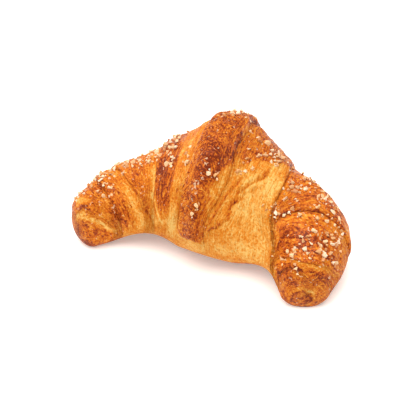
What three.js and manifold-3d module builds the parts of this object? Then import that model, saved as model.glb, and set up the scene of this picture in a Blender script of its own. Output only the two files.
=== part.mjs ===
// A croissant: laminated dough rolled up and bent to a crescent, with chopped nuts and pearl sugar baked on top.
// Millimetres, +Z up. The roll lies on the table with its horns towards -Y, and +X is on the viewer's right.
// The origin is on the table, under the middle of the croissant's box.
import * as THREE from 'three';
import { mergeVertices } from 'three/addons/utils/BufferGeometryUtils.js';
import Module from 'manifold-3d';

const degrees = THREE.MathUtils.degToRad;

// Where the middle of the roll's centre line stands
const MIDDLE = new THREE.Vector2(-0.61, 2.16);

// Each half of the roll is an arc: its length along the centre line, how far it turns and its rounded end.
// Between belly and horn it is arched clear of the table: how high, and where and over what share of its length
const LEFT = { sign: -1, arm: 75.41, turn: degrees(59.11), cap: 7.75, arch: 6.4, archAt: 0.61, archReach: 0.34 };
const RIGHT = { sign: 1, arm: 78.5, turn: degrees(67), cap: 5.2, arch: 6.0, archAt: 0.66, archReach: 0.3 };

// The roll's section at evenly spaced stations from the left horn to the right one:
// how far it reaches into the bay, how far it reaches to the back, and its height
const STATIONS = [
  { inner: 10.4, outer: 13.1, height: 29.7 },
  { inner: 17.8, outer: 23.2, height: 34.4 },
  { inner: 25.0, outer: 30.3, height: 40.4 },
  { inner: 36.1, outer: 37.4, height: 53.7 },
  { inner: 42.0, outer: 40.8, height: 66.2 },
  { inner: 38.4, outer: 33.6, height: 54.0 },
  { inner: 29.6, outer: 34.1, height: 44.0 },
  { inner: 17.9, outer: 28.5, height: 37.7 },
  { inner: 14.2, outer: 12.8, height: 28.0 },
];

// The section's widest line as a share of its height, and how square its sides, top and underside are
const WIDEST = 0.42;
const SIDE_POWER = 0.95;
const TOP_POWER = 0.95;
const UNDER_POWER = 0.9;
const FOOT_DEPTH = 1.5; // the baked flat underneath
const CAP_RISE = 0.4; // an end's underside rises by this share of the height that the end loses

// The free end of the dough, a strip over the middle: thick in front and thinner over the top and behind,
// with its rounded edge and its end
const TONGUE_LIFT = 5.0;
const TONGUE_LIFT_BACK = 2.4;
const TONGUE_THINS_FROM = degrees(125);
const TONGUE_THINS_TO = degrees(75);
const TONGUE_EDGE = 2.2;
const TONGUE_END = degrees(187);
const TONGUE_END_ROUND = degrees(13);
const TONGUE_END_SLOPE = degrees(7);

// Lips where one turn of dough ends over the next, from the tongue out to the horn.
// Each gives its distance from the middle at the back, on top, in front and underneath, and the step's height.
// A bulge moves a lip further out around one angle, or back if it is negative.
LEFT.lips = [
  { back: 12, top: 10, front: 21, under: 15, lift: TONGUE_LIFT },
  { back: 28, top: 35, front: 41, under: 36, lift: 1.9 },
  { back: 55, top: 52, front: 47.5, under: 52, lift: 1.3 },
  { back: 62, top: 65.5, front: 62.5, under: 64, lift: 1.1 },
  { back: 78, top: 81, front: 67, under: 76, lift: 1.2 },
];
RIGHT.lips = [
  { back: 6, top: 8.5, front: 14.5, under: 10, lift: TONGUE_LIFT, bulge: 6, bulgeAt: degrees(127) },
  { back: 22, top: 39, front: 68, under: 42, lift: 2.9, bulge: -3.5, bulgeAt: degrees(125) },
  { back: 63, top: 52, front: 52, under: 55, lift: 1.7 },
  { back: 75, top: 77.5, front: 66, under: 73, lift: 1.4 },
  { back: 78, top: 81, front: 74, under: 78, lift: 1.2 },
];
const BULGE_WIDE = degrees(26);
const LIP_GAP = 2.5; // lips that run together stay this far apart
const LIP_BLEND = 3.0; // how softly they are pushed apart
const LIP_FROM_TIP = 1.0; // the last lip stays this far from the tip
const LIP_CROWD = 0.75; // and lips that crowd there stay this far apart
const LIP_ROUND = 1.6; // the lip's rounded edge
const FULL_STEP = 8.0; // a turn narrower than this steps down less
const CREST = 0.75; // a turn swells from its crevice to its lip over this share of its width
const CREST_POWER = 0.8;
const RELIEF_LOW = 0.75; // lips and swells fade out below the widest line
const RELIEF_FADE = 1.6;

// Slow bulges of the risen dough
const SWELLS = [
  { high: 0.55, along: 1 / 9, round: 2, start: 0.4 },
  { high: 0.45, along: 1 / 14, round: -3, start: 1.9 },
  { high: 0.3, along: 1 / 5.5, round: 4, start: 3.1 },
];

// The mesh of the body: columns round the section, close together above and wide apart underneath
const COLUMNS_ABOVE = 37;
const COLUMNS_UNDER = 6;
const UNDER_FROM = degrees(225);
const UNDER_TO = degrees(315);

// Nuts and sugar: patches of the crust by distance from the middle and angle round the roll, with their spread
const PATCHES = [
  { at: -66, angle: degrees(92), long: 7, wide: degrees(20), count: 15 },
  { at: -51, angle: degrees(70), long: 10, wide: degrees(14), count: 24 },
  { at: -55, angle: degrees(50), long: 11, wide: degrees(9), count: 12 },
  { at: -38, angle: degrees(73), long: 7, wide: degrees(12), count: 16 },
  { at: -38, angle: degrees(52), long: 6, wide: degrees(8), count: 7 },
  { at: -29, angle: degrees(94), long: 3, wide: degrees(14), count: 6 },
  { at: -18, angle: degrees(101), long: 2, wide: degrees(13), count: 4 },
  { at: 3, angle: degrees(152), long: 3, wide: degrees(7), count: 3 },
  { at: -1, angle: degrees(66), long: 6, wide: degrees(10), count: 11 },
  { at: 2, angle: degrees(48), long: 6, wide: degrees(8), count: 7 },
  { at: 21, angle: degrees(73), long: 6, wide: degrees(9), count: 13 },
  { at: 18, angle: degrees(96), long: 5, wide: degrees(12), count: 4 },
  { at: 41, angle: degrees(78), long: 4, wide: degrees(9), count: 10 },
  { at: 47, angle: degrees(91), long: 3, wide: degrees(7), count: 6 },
  { at: 48, angle: degrees(56), long: 8, wide: degrees(14), count: 18 },
  { at: 49, angle: degrees(112), long: 5, wide: degrees(8), count: 5 },
  { at: 57, angle: degrees(60), long: 4, wide: degrees(13), count: 6 },
  { at: 70, angle: degrees(60), long: 7, wide: degrees(20), count: 30 },
  { at: 71, angle: degrees(88), long: 5, wide: degrees(10), count: 8 },
  { at: 72, angle: degrees(128), long: 6, wide: degrees(18), count: 6 },
];
const CRUMB_SEED = 20531;
const CRUMB_SMALL = 0.85; // half of a crumb's width
const CRUMB_LARGE = 1.55;
const CRUMB_SUNK = 0.35; // this share of it lies in the crust
const CRUMB_ROUGH = 0.28;
const CRUMB_APART = 1.05;

// The roll's centre line in plan, with its heading, at a distance from the middle
function centreLine(half, distance) {
  const radius = half.arm / half.turn;
  const heading = Math.min(distance, half.arm) / radius;
  const beyond = Math.max(distance - half.arm, 0);
  const x = radius * Math.sin(heading) + beyond * Math.cos(heading);
  const y = -radius * (1 - Math.cos(heading)) - beyond * Math.sin(heading);
  return { x: MIDDLE.x + half.sign * x, y: MIDDLE.y + y, heading: half.sign * heading };
}

const stationCurve = new THREE.CatmullRomCurve3(
  STATIONS.map((station) => new THREE.Vector3(station.inner, station.outer, station.height)),
  false,
  'catmullrom',
  0.5,
);

// How high the underside is arched clear of the table there
function archAt(half, distance) {
  const away = Math.min(Math.abs(distance / half.arm - half.archAt) / half.archReach, 1);
  return half.arch * (1 - away * away) ** 2;
}

// A point of the crust: distance from the middle, angle round the roll (0 at the back, 90 degrees on top),
// and how far the crust stands proud there
function crustPoint(half, distance, angle, proud) {
  const share = Math.min(distance / half.arm, 1);
  const size = stationCurve.getPoint(0.5 + 0.5 * half.sign * share);
  const line = centreLine(half, distance);
  const over = THREE.MathUtils.clamp((distance - half.arm) / half.cap, 0, 1);
  const shrink = Math.sqrt(1 - over * over);
  const cos = Math.cos(angle);
  const sin = Math.sin(angle);
  const reach = cos > 0 ? size.y : size.x;
  const rise = sin > 0 ? WIDEST + (1 - WIDEST) * sin ** TOP_POWER : WIDEST * (1 - (-sin) ** UNDER_POWER);
  const out = (Math.sign(cos) * Math.abs(cos) ** SIDE_POWER * reach + cos * proud) * shrink;
  const bottom = CAP_RISE * size.z * (1 - shrink);
  let z = bottom + size.z * shrink * rise + Math.max(sin, 0) * proud * shrink;
  const underside = Math.max(1 - z / (WIDEST * size.z), 0);
  z = Math.max(z - FOOT_DEPTH * underside, 0) + archAt(half, distance) * underside;
  return new THREE.Vector3(line.x + Math.sin(line.heading) * out, line.y + Math.cos(line.heading) * out, z);
}

// An angle round the roll, brought to between -90 and 270 degrees
function upright(angle) {
  return angle > degrees(270) ? angle - degrees(360) : angle;
}

// A lip's distance from the middle at an angle, through its four named places
function lipAt(lip, angle) {
  const mean = (lip.back + lip.top + lip.front + lip.under) / 4;
  const frontBack = (lip.front - lip.back) / 2;
  const topUnder = (lip.top - lip.under) / 2;
  const twist = (lip.back + lip.front - lip.top - lip.under) / 4;
  const plain = mean - frontBack * Math.cos(angle) + topUnder * Math.sin(angle) + twist * Math.cos(2 * angle);
  if (!lip.bulge) return plain;
  return plain + lip.bulge * Math.exp(-(((upright(angle) - lip.bulgeAt) / BULGE_WIDE) ** 2));
}

// All lips of a half at an angle, kept in order
function lipsAt(half, angle) {
  const most = half.arm + half.cap - LIP_FROM_TIP;
  const places = [];
  for (const lip of half.lips) {
    const beyond = half.lips.length - 1 - places.length;
    let place = lipAt(lip, angle);
    if (places.length > 0) {
      const least = places.at(-1) + LIP_GAP;
      place = (place + least + Math.hypot(place - least, LIP_BLEND)) / 2;
    }
    places.push(Math.min(place, most - LIP_CROWD * beyond));
  }
  return places;
}

// Lips and swells die away on the flat underside
function aboveTable(angle) {
  return THREE.MathUtils.clamp(Math.sin(angle) * RELIEF_FADE + RELIEF_LOW, 0, 1);
}

// How thick the tongue is at an angle
function tongueLift(angle) {
  const front = THREE.MathUtils.smoothstep(upright(angle), TONGUE_THINS_TO, TONGUE_THINS_FROM);
  return THREE.MathUtils.lerp(TONGUE_LIFT_BACK, TONGUE_LIFT, front);
}

// How far the tongue reaches round the front: 1 on it, 0 past its rounded end
function onTongue(share, angle) {
  const end = TONGUE_END - TONGUE_END_ROUND * share ** 3;
  return THREE.MathUtils.clamp((end - upright(angle)) / TONGUE_END_SLOPE, 0, 1);
}

// A quarter round: 0 at 0, level at 1
function rounded(share) {
  return share * (2 - share);
}

// How far the crust stands proud of the plain roll
function proudAt(half, distance, angle) {
  const edges = lipsAt(half, angle);
  let proud = 0;
  if (distance < edges[0]) {
    const near = Math.min((edges[0] - distance) / TONGUE_EDGE, 1);
    proud = tongueLift(angle) * rounded(near) * onTongue(distance / edges[0], angle);
  }
  for (let k = 1; k < edges.length; k += 1) {
    const width = edges[k] - edges[k - 1];
    const along = (distance - edges[k - 1]) / width;
    if (along >= 0 && along < 1) {
      const step = half.lips[k].lift * THREE.MathUtils.clamp((width - LIP_GAP) / FULL_STEP, 0, 1);
      const crest = Math.min(along / CREST, 1) ** CREST_POWER;
      const edge = Math.min(((1 - along) * width) / LIP_ROUND, 1);
      proud = step * (crest * rounded(edge) - 0.5);
    }
  }
  const last = edges.at(-1);
  if (distance >= last) {
    proud = -0.5 * half.lips.at(-1).lift * (1 - (distance - last) / (half.arm + half.cap - last));
  }
  const place = half.sign * distance;
  for (const swell of SWELLS) {
    proud += swell.high * Math.sin(place * swell.along + swell.round * angle + swell.start);
  }
  return proud * aboveTable(angle);
}

// The rings of a half, from the middle out, as distances that follow the lips
function ringsOf(half) {
  const tip = half.arm + half.cap;
  const rings = [];
  for (const share of [0.35, 0.7]) {
    rings.push((edges) => share * (edges[0] - TONGUE_EDGE));
  }
  for (const before of [1, 0.45, 0.04]) {
    rings.push((edges) => edges[0] - before * TONGUE_EDGE);
  }
  for (let k = 1; k < half.lips.length; k += 1) {
    const width = (edges) => edges[k] - edges[k - 1];
    rings.push((edges) => edges[k - 1] + Math.min(0.4, 0.08 * width(edges)));
    for (const share of [0.17, 0.45, 0.72]) {
      rings.push((edges) => edges[k - 1] + share * width(edges));
    }
    for (const before of [1, 0.45, 0.06]) {
      rings.push((edges) => edges[k] - Math.min(before * LIP_ROUND, before * 0.24 * width(edges)));
    }
  }
  for (const share of [0.1, 0.4, 0.68, 0.88]) {
    rings.push((edges) => {
      const last = edges.at(-1);
      return last + (tip - last) * (1 - (1 - share) ** 2);
    });
  }
  return rings;
}

function columnAngles() {
  const angles = [];
  const above = UNDER_FROM - UNDER_TO + degrees(360);
  for (let i = 0; i < COLUMNS_ABOVE; i += 1) {
    angles.push(UNDER_TO - degrees(360) + (above * i) / COLUMNS_ABOVE);
  }
  for (let i = 0; i < COLUMNS_UNDER; i += 1) {
    angles.push(UNDER_FROM + ((UNDER_TO - UNDER_FROM) * i) / COLUMNS_UNDER);
  }
  return angles;
}

// The body: rings of points from the left tip to the right one, skinned, with a point at each tip
function dough() {
  const angles = columnAngles();
  const rings = [];
  const addRing = (half, distanceOf) => {
    rings.push(angles.map((angle) => {
      const distance = distanceOf(lipsAt(half, angle));
      return crustPoint(half, distance, angle, proudAt(half, distance, angle));
    }));
  };
  for (const distanceOf of ringsOf(LEFT).reverse()) addRing(LEFT, distanceOf);
  addRing(RIGHT, () => 0);
  for (const distanceOf of ringsOf(RIGHT)) addRing(RIGHT, distanceOf);

  const tips = [LEFT, RIGHT].map((half) => crustPoint(half, half.arm + half.cap, 0, 0));
  const points = rings.flat().concat(tips);
  const leftTip = points.length - 2;
  const rightTip = points.length - 1;
  const columns = angles.length;
  const faces = [];
  for (let j = 0; j < columns; j += 1) {
    const next = (j + 1) % columns;
    for (let i = 0; i + 1 < rings.length; i += 1) {
      const a = i * columns + j;
      const b = i * columns + next;
      const c = a + columns;
      const d = b + columns;
      faces.push(a, b, c, b, d, c);
    }
    const end = (rings.length - 1) * columns;
    faces.push(leftTip, next, j);
    faces.push(rightTip, end + j, end + next);
  }
  const geometry = new THREE.BufferGeometry().setFromPoints(points);
  geometry.setIndex(faces);
  return geometry;
}

// A seeded draw between 0 and 1, so that the crumbs are the same each time
let draw = CRUMB_SEED;
function chance() {
  draw = (Math.imul(draw, 1664525) + 1013904223) >>> 0;
  return draw / 2 ** 32;
}

// A draw around 0 that is denser in the middle, within about one spread each way
function around(spread) {
  return (chance() + chance() + chance() - 1.5) * spread * 1.2;
}

// The crumbs as places, sizes and turns, largest first in each patch, none on top of another
function crumbs() {
  const placed = [];
  for (const patch of PATCHES) {
    for (let i = 0; i < patch.count; i += 1) {
      const size = THREE.MathUtils.lerp(CRUMB_LARGE, CRUMB_SMALL, i / patch.count);
      const at = patch.at + around(patch.long);
      const angle = patch.angle + around(patch.wide);
      const turn = new THREE.Euler(chance() * Math.PI, chance() * Math.PI, chance() * Math.PI);
      const half = at < 0 ? LEFT : RIGHT;
      const distance = Math.abs(at);
      const proud = proudAt(half, distance, angle) + size * (0.5 - CRUMB_SUNK);
      const place = crustPoint(half, distance, angle, proud);
      const free = placed.every((other) => other.place.distanceTo(place) > CRUMB_APART * (other.size + size));
      if (free) placed.push({ place, size, turn });
    }
  }
  return placed;
}

// One crumb: a chipped twenty-sided grain
function grain(size) {
  const shape = new THREE.IcosahedronGeometry(size, 0);
  shape.deleteAttribute('normal');
  shape.deleteAttribute('uv');
  const merged = mergeVertices(shape, 1e-3);
  const corners = merged.getAttribute('position');
  for (let i = 0; i < corners.count; i += 1) {
    const factor = 1 + CRUMB_ROUGH * (chance() - 0.5);
    corners.setXYZ(i, corners.getX(i) * factor, corners.getY(i) * factor, corners.getZ(i) * factor);
  }
  return merged;
}

const wasm = await Module();
wasm.setup();

function solid(geometry) {
  const vertProperties = geometry.getAttribute('position').array;
  const triVerts = new Uint32Array(geometry.getIndex().array);
  return new wasm.Manifold(new wasm.Mesh({ numProp: 3, vertProperties, triVerts }));
}

// The body and its crumbs as one solid
function croissantGeometry() {
  const grains = crumbs().map(({ place, size, turn }) => {
    const shape = grain(size);
    const set = new THREE.Matrix4().makeRotationFromEuler(turn).setPosition(place);
    return solid(shape.applyMatrix4(set));
  });
  const whole = wasm.Manifold.union([solid(dough()), ...grains]);
  const { vertProperties, triVerts } = whole.getMesh();
  const geometry = new THREE.BufferGeometry();
  geometry.setAttribute('position', new THREE.BufferAttribute(vertProperties, 3));
  geometry.setIndex(new THREE.BufferAttribute(triVerts, 1));
  geometry.computeVertexNormals();
  return geometry;
}

const crust = new THREE.MeshStandardMaterial({ color: 0xc07a34, roughness: 0.5, metalness: 0 });
const croissant = new THREE.Mesh(croissantGeometry(), crust);
croissant.name = 'croissant';

const group = new THREE.Group();
group.add(croissant);

export default group;
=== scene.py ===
"""A baked croissant with nut and sugar crumbs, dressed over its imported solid.

The roll is described as the dough was shaped: a bent centre line, a section that changes along it, and
lips where one turn of dough ends over the next. Lengths of the dough are in millimetres, and crust_point
turns them into Blender's metres. Angles round the roll are 0 at the back, 90 degrees on top and 180 towards
the bay.
"""

import math

import bmesh
import bpy
from mathutils import Euler, Matrix, Vector, noise


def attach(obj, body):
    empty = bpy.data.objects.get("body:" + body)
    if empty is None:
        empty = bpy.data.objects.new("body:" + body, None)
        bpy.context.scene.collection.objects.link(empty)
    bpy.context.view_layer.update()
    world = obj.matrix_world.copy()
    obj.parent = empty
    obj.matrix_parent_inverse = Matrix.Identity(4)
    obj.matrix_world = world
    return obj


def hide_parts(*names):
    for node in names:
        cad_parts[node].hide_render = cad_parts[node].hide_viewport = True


MM = 0.001
NODE = "croissant"
BODY = "root"

# Where the middle of the roll's centre line stands
MIDDLE_X = -0.61
MIDDLE_Y = 2.16

# The free end of the dough: a strip over the middle, thick in front and thinner over the top and behind
TONGUE_LIFT = 5.0
TONGUE_LIFT_BACK = 2.4
TONGUE_THINS_FROM = math.radians(125)
TONGUE_THINS_TO = math.radians(75)
TONGUE_END = math.radians(185)
TONGUE_END_ROUND = math.radians(7)
TONGUE_END_SLOPE = math.radians(6)
TONGUE_SLOPE_FROM = 0.50  # to the right of this share of its half width it slopes down
TONGUE_SLOPE_DROP = 0.72
TONGUE_SLOPE_TURN = (math.radians(80), math.radians(115))
TONGUE_BESIDE = 0.9  # the crevice beside it ends where it does at this share of its half width

# The fine mesh of the crust: columns closest together where the front shows
COLUMNS = 216
SEAM = math.radians(-90)
CLOSE_UNDER = 0.42
CLOSER_FRONT = 0.58
CLOSER_BACK = 0.3
BACK_START = (-60, -20)  # degrees
FRONT_START = (20, 60)
FRONT_END = (215, 240)
HALF_DEGREES = 720  # in a whole turn
ROW_STEP = 0.47
LEAST_ROWS = 6
NOSE_ROWS = 6
END_ROWS = 16
MERGE_WITHIN = 0.00001  # metres

# The rounded nose of a lip, which turns back under itself, and its radius in millimetres
NOSE_TURN = math.radians(150)
NOSE_TURN_SOFT = math.radians(75)
NOSE_TURN_FLAT = math.radians(55)
NOSE_SHARE = 0.3  # of its turn's width at most
NOSE_LEAST = 0.3

# How wide a lip's bulge is, over how many degrees a lip melts away, and when narrow turns melt together
BULGE_WIDE = math.radians(26)
FADES_OVER = 16
CROWDED = 2.6
ROOMY = 4.4
CROWDED_BAKE = 0.45
CROWDED_SHARE = 0.8

# Millimetres of grain, and how far apart in the noise the layers and the halves are
GRAIN_ROUND = 34.0  # for each radian round the roll
NOSE_GRAIN = 0.3  # for each row of a nose
END_GRAIN = 12  # over the rounded end
LAYER_SEED = 1.7
HALF_SEED = 5.1

# Fine relief in millimetres
LIP_WANDER = 0.9
WANDER_ROUND = 2.2
WANDER_SEED = 7.3
WANDER_SEED_HALF = 3
WANDER_CALM = 14  # lips wander less over this length before the tip
WANDER_LEAST = 0.15
GROOVE_DEEP = 0.55
GROOVE_SHALLOW = 0.1
GROOVE_WIDE = 1.1
GROOVE_END = 0.55  # share of the end where the last groove has run out
WRINKLE_HIGH = 0.45
FIBRE_HIGH = 0.26
CROSSWISE_GAIN = 1.3

# Reach along the roll and round it of the wrinkles and the fibres, and of those that run across
WRINKLE = (3.4, 9.5)
FIBRE = (1.3, 8.0)
CROSS_WRINKLE = (5.0, 2.4)
CROSS_FIBRE = (3.6, 1.2)
CROSS_SEED = 0.5
CROSS_FROM = -60  # degrees
CROSS_TO = 200
CROSS_EDGE = (0.55, 0.72)  # shares of the tongue's right half width

# Noise: how fast its octaves weaken, how much finer each one is, and how many there are
LIP_NOISE = (0.7, 2.2, 5)
WRINKLE_NOISE = (0.8, 2.1, 3)
FIBRE_NOISE = (0.9, 2.0, 2)

# The rolled-up layers on an end, in millimetres: a ridge, a crevice inside it, and a knot in the middle
CURL_MIDDLE = (-0.2, -0.25)
CURL_ACROSS = 13.0
CURL_ROUND = 6.1
CURL_DEEP = 1.0
CURL_HIGH = 0.7
CURL_LUMPS = 1.1
CURL_LUMP_WIDE = 2.6
CURL_SEED = 4.4
RIDGE_WIDE = 0.65
CREVICE_WIDE = 0.8
CREVICE_INSIDE = 1.6
KNOT_HIGH = 0.4
KNOT_WIDE = 1.3
CURL_PALE_WIDE = 2.8

# How much darker or paler the rolled-up layers and the lips are: the darkening of the crevice and of the
# lips' noses is painted shade, the rest is the crust's own tone
CREVICE_SHADE = 0.30
RIDGE_PALE = 0.40
CURL_PALE = 0.16
LUMP_DARK = 0.12
NOSE_SHADE = 0.06
GROOVE_SHADE = 0.3


def upright(angle):
    """An angle round the roll, brought to between -90 and 270 degrees."""
    return angle - 2 * math.pi if angle > 1.5 * math.pi else angle


def clamp(value, low=0.0, high=1.0):
    return min(max(value, low), high)


def ease(low, high, value):
    """0 below low, 1 above high, and smooth between."""
    t = clamp((value - low) / (high - low))
    return t * t * (3 - 2 * t)


def bell(value):
    return math.exp(-value * value)


def rounded(share):
    """A quarter round: 0 at 0, level at 1."""
    return share * (2 - share)


def mix(a, b, share):
    return a + (b - a) * share


def along(keys, place):
    """The value at a place on a line of (place, value) keys."""
    if place <= keys[0][0]:
        return keys[0][1]
    for (a, low), (b, high) in zip(keys, keys[1:]):
        if place <= b:
            return mix(low, high, ease(a, b, place))
    return keys[-1][1]


class Lip:
    """Where a turn of dough ends: its distance from the middle at four places round the roll, and its step.

    Tuck is how far it curls back under itself, from 0 to 1. The bake runs along the turn that ends here,
    from its crevice to its lip, from 0, pale, to 1, dark. The tongue has none, because TONGUE_BAKE gives
    its bake. A bulge moves the lip further out round one angle, and from the angle where it fades, the lip
    melts into the crust.
    """

    def __init__(self, back, top, front, under, lift, tuck, bake=None, bulge=0.0, bulge_at=0.0, fades=None):
        self.mean = (back + top + front + under) / 4
        self.front_back = (front - back) / 2
        self.top_under = (top - under) / 2
        self.twist = (back + front - top - under) / 4
        self.lift = lift
        self.nose_turn = mix(NOSE_TURN_SOFT, NOSE_TURN, tuck)
        self.groove = mix(GROOVE_SHALLOW, GROOVE_DEEP, tuck)
        self.bake = bake
        self.bulge = bulge
        self.bulge_at = math.radians(bulge_at)
        self.fades = fades

    def left_at(self, angle):
        """How much is left of the lip at an angle, 1 where it hasn't faded."""
        if self.fades is None:
            return 1.0
        degrees = math.degrees(upright(angle))
        return 1 - ease(self.fades, self.fades + FADES_OVER, degrees) if degrees > 0 else 1.0

    def at(self, angle):
        place = self.mean - self.front_back * math.cos(angle) + self.top_under * math.sin(angle)
        place += self.twist * math.cos(2 * angle)
        if self.bulge:
            away = (upright(angle) - self.bulge_at) / BULGE_WIDE
            place += self.bulge * math.exp(-away * away)
        return place


class Half:
    """One arm of the roll: its arch is (height, place, reach), its curl how far its end shows layers."""

    def __init__(self, sign, arm, turn, cap, arch, lips, end_bake, curl):
        self.sign = sign
        self.arm = arm
        self.turn = math.radians(turn)
        self.cap = cap
        self.tip = arm + cap
        self.arch = arch
        self.lips = lips
        self.end_bake = end_bake
        self.curl = curl


LEFT = Half(-1, arm=75.41, turn=59.11, cap=7.75, arch=(6.4, 0.61, 0.34), lips=[
    Lip(12, 10, 21, 15, TONGUE_LIFT, 0.5),
    Lip(28, 35, 41, 36, 1.9, 0.1,
        [(0, 0.50), (0.12, 0.44), (0.45, 0.41), (0.56, 0.80), (0.90, 0.84), (1, 0.68)]),
    Lip(55, 52, 47.5, 52, 1.3, 0.1, [(0, 0.40), (0.15, 0.40), (0.35, 0.52), (0.8, 0.60), (1, 0.52)]),
    Lip(62, 65.5, 62.5, 64, 1.1, 0.1, [(0, 0.44), (0.3, 0.42), (0.5, 0.56), (0.8, 0.64), (1, 0.74)]),
    Lip(78, 81, 67, 76, 1.2, 0.2, [(0, 0.66), (0.3, 0.66), (0.8, 0.60), (1, 0.66)],
        bulge=4.5, bulge_at=143),
], end_bake=[(0, 0.60), (0.3, 0.62), (0.6, 0.74), (1, 0.74)], curl=0.25)
RIGHT = Half(1, arm=78.5, turn=67, cap=5.2, arch=(6.0, 0.66, 0.3), lips=[
    Lip(6, 8.5, 14.5, 10, TONGUE_LIFT, 0.2, bulge=6, bulge_at=127),
    Lip(22, 39, 68, 42, 2.9, 0.8,
        [(0, 0.46), (0.10, 0.36), (0.3, 0.27), (0.8, 0.24), (0.94, 0.30), (1, 0.42)],
        bulge=-3.5, bulge_at=125, fades=119),
    Lip(63, 52, 52, 55, 1.7, 0.3, [(0, 0.60), (0.3, 0.68), (1, 0.74)]),
    Lip(75, 77.5, 66, 73, 1.1, 0.0, [(0, 0.62), (0.24, 0.64), (0.40, 0.74), (0.8, 0.74), (1, 0.60)],
        bulge=2.0, bulge_at=105),
    Lip(78, 81, 74, 78, 1.2, 0.4, [(0, 0.48), (0.5, 0.50), (1, 0.74)]),
], end_bake=[(0, 0.74), (0.5, 0.62), (1, 0.50)], curl=1.0)

# The section from the left horn to the right one: reach into the bay, reach to the back, height
STATIONS = [
    Vector((10.4, 13.1, 29.7)),
    Vector((17.8, 23.2, 34.4)),
    Vector((25.0, 30.3, 40.4)),
    Vector((36.1, 37.4, 53.7)),
    Vector((42.0, 40.8, 66.2)),
    Vector((38.4, 33.6, 54.0)),
    Vector((29.6, 34.1, 44.0)),
    Vector((17.9, 28.5, 37.7)),
    Vector((14.2, 12.8, 28.0)),
]

# The section's shape: where it is widest, the powers of its curves, and its foot and rounded tips
WIDEST = 0.42
SIDE_POWER = 0.95
TOP_POWER = 0.95
UNDER_POWER = 0.9
FOOT_DEPTH = 1.5
CAP_RISE = 0.4
END_ROUND = 12.0  # how far the skin goes on over the rounded end

# The lips, in millimetres: the room between them and before the tip, and the shape of a turn's face
LIP_GAP = 2.5
LIP_BLEND = 3.0
LIP_FROM_TIP = 1.0
LIP_CROWD = 0.75
LIP_ROUND = 1.6
FULL_STEP = 8.0
CREST = 0.75
CREST_POWER = 0.8
TONGUE_ROUND = 2.2
RELIEF_LOW = 0.75
RELIEF_FADE = 1.6

# Slow bulges: how high, how quick along the roll and round it, and where they start
SWELLS = [(0.55, 1 / 9, 2, 0.4), (0.45, 1 / 14, -3, 1.9), (0.3, 1 / 5.5, 4, 3.1)]


def section_at(place):
    """The section at a place along all stations, 0 at the left horn to 1 at the right."""
    last = len(STATIONS) - 1
    i = min(int(place * last), last - 1)
    t = place * last - i
    b = STATIONS[i]
    c = STATIONS[i + 1]
    a = STATIONS[i - 1] if i > 0 else 2 * b - c
    d = STATIONS[i + 2] if i + 2 <= last else 2 * c - b
    return 0.5 * (2 * b + (c - a) * t + (2 * a - 5 * b + 4 * c - d) * t**2 + (3 * b - a - 3 * c + d) * t**3)


def arch_at(half, distance):
    """How high the underside is arched clear of the table there."""
    high, at, reach = half.arch
    away = min(abs(distance / half.arm - at) / reach, 1)
    return high * (1 - away * away) ** 2


def cap_share(half, distance):
    """How far the roll still is from its tip's point: 1 before the rounded end, 0 at the tip."""
    over = clamp((distance - half.arm) / half.cap)
    return math.sqrt(1 - over * over)


def along_skin(half, distance):
    """A distance measured along the skin, which goes on growing over the rounded end."""
    over = clamp((distance - half.arm) / half.cap)
    return min(distance, half.arm) + END_ROUND * math.asin(over)


def crust_point(half, distance, angle, proud):
    """A point of the crust in metres."""
    share = min(distance / half.arm, 1)
    inner, outer, height = section_at(0.5 + 0.5 * half.sign * share)
    radius = half.arm / half.turn
    heading = min(distance, half.arm) / radius
    beyond = max(distance - half.arm, 0)
    x = MIDDLE_X + half.sign * (radius * math.sin(heading) + beyond * math.cos(heading))
    y = MIDDLE_Y - radius * (1 - math.cos(heading)) - beyond * math.sin(heading)
    shrink = cap_share(half, distance)
    cos = math.cos(angle)
    sin = math.sin(angle)
    reach = outer if cos > 0 else inner
    if sin > 0:
        rise = WIDEST + (1 - WIDEST) * sin**TOP_POWER
    else:
        rise = WIDEST * (1 - (-sin) ** UNDER_POWER)
    out = (math.copysign(abs(cos) ** SIDE_POWER, cos) * reach + cos * proud) * shrink
    z = CAP_RISE * height * (1 - shrink) + height * shrink * rise + max(sin, 0) * proud * shrink
    underside = max(1 - z / (WIDEST * height), 0)
    z = max(z - FOOT_DEPTH * underside, 0) + arch_at(half, distance) * underside
    x += half.sign * math.sin(heading) * out
    y += math.cos(heading) * out
    return Vector((x, y, z)) * MM


def lips_at(half, angle, wander=0.0):
    """All lips of a half at an angle, kept in order."""
    places = []
    for number, lip in enumerate(half.lips):
        place = lip.at(angle)
        if wander:
            seed = WANDER_SEED * number + WANDER_SEED_HALF * half.sign
            spot = Vector((WANDER_ROUND * math.cos(angle), WANDER_ROUND * math.sin(angle), seed))
            calm = clamp((half.tip - place) / WANDER_CALM, WANDER_LEAST)
            place += wander * calm * noise.fractal(spot, *LIP_NOISE)
        if places:
            least = places[-1] + LIP_GAP
            place = (place + least + math.hypot(place - least, LIP_BLEND)) / 2
        room = LIP_FROM_TIP + LIP_CROWD * (len(half.lips) - 1 - number)
        places.append(min(place, half.tip - room))
    return places


def above_table(angle):
    return clamp(math.sin(angle) * RELIEF_FADE + RELIEF_LOW)


def tongue_lift(angle):
    return mix(TONGUE_LIFT_BACK, TONGUE_LIFT, ease(TONGUE_THINS_TO, TONGUE_THINS_FROM, upright(angle)))


def on_tongue(share, angle):
    """1 on the tongue, 0 past its rounded end, at a share of its half width."""
    end = TONGUE_END - TONGUE_END_ROUND * share**3
    return clamp((end - upright(angle)) / TONGUE_END_SLOPE)


def swell(half, distance, angle):
    """The slow bulges of the roll."""
    place = half.sign * distance
    return sum(high * math.sin(place * quick + turns * angle + start)
               for high, quick, turns, start in SWELLS)


def step_of(half, number, edges):
    """How much a turn of dough swells from its crevice to its lip."""
    width = edges[number] - edges[number - 1]
    return half.lips[number].lift * clamp((width - LIP_GAP) / FULL_STEP)


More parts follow.
